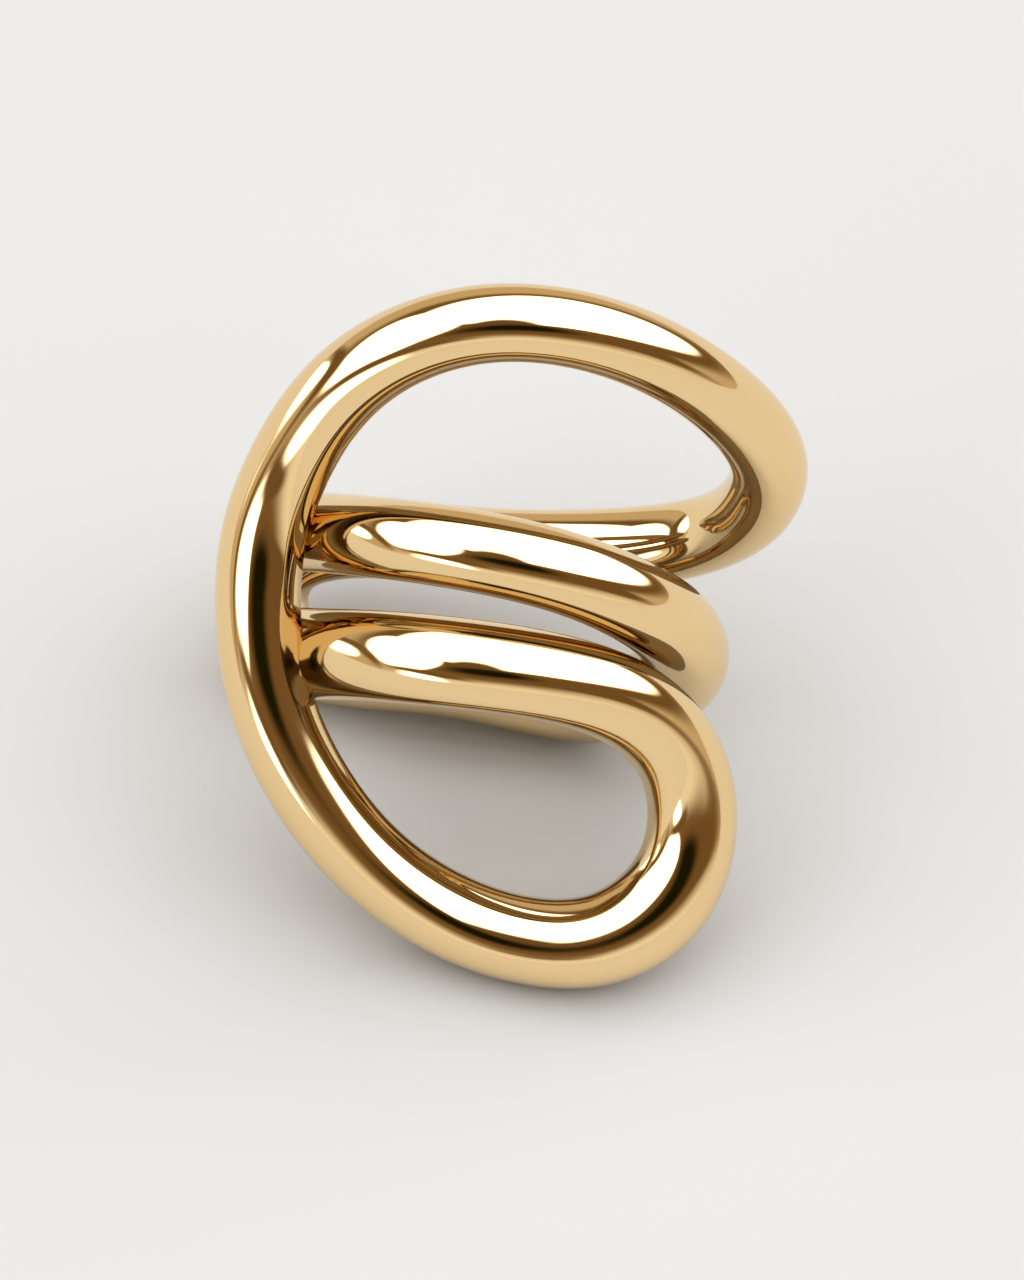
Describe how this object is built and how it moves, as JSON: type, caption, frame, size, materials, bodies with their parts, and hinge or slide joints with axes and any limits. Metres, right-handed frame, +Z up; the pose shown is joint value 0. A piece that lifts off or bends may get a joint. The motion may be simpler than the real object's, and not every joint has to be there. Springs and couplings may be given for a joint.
{
  "type": "ear cuff",
  "caption": "Polished gold ear cuff bent from round wire: an open loop crossed by parallel bars that hook round the ear's rim, with a hairpin behind.",
  "frame": {"origin": "on the surface that the cuff rests on, under the middle of its box", "axes": "+Z up, the decorative front leans back and faces -Y and up, +X to the wearer's-right side of the front, where the hooks go round the ear's rim"},
  "size_m": [0.014, 0.0124, 0.0148],
  "materials": {
    "polished_gold": "gold plated, polished to a mirror"
  },
  "bodies": {
    "root": {"cuff_wire": "polished_gold"}
  },
  "joints": []
}
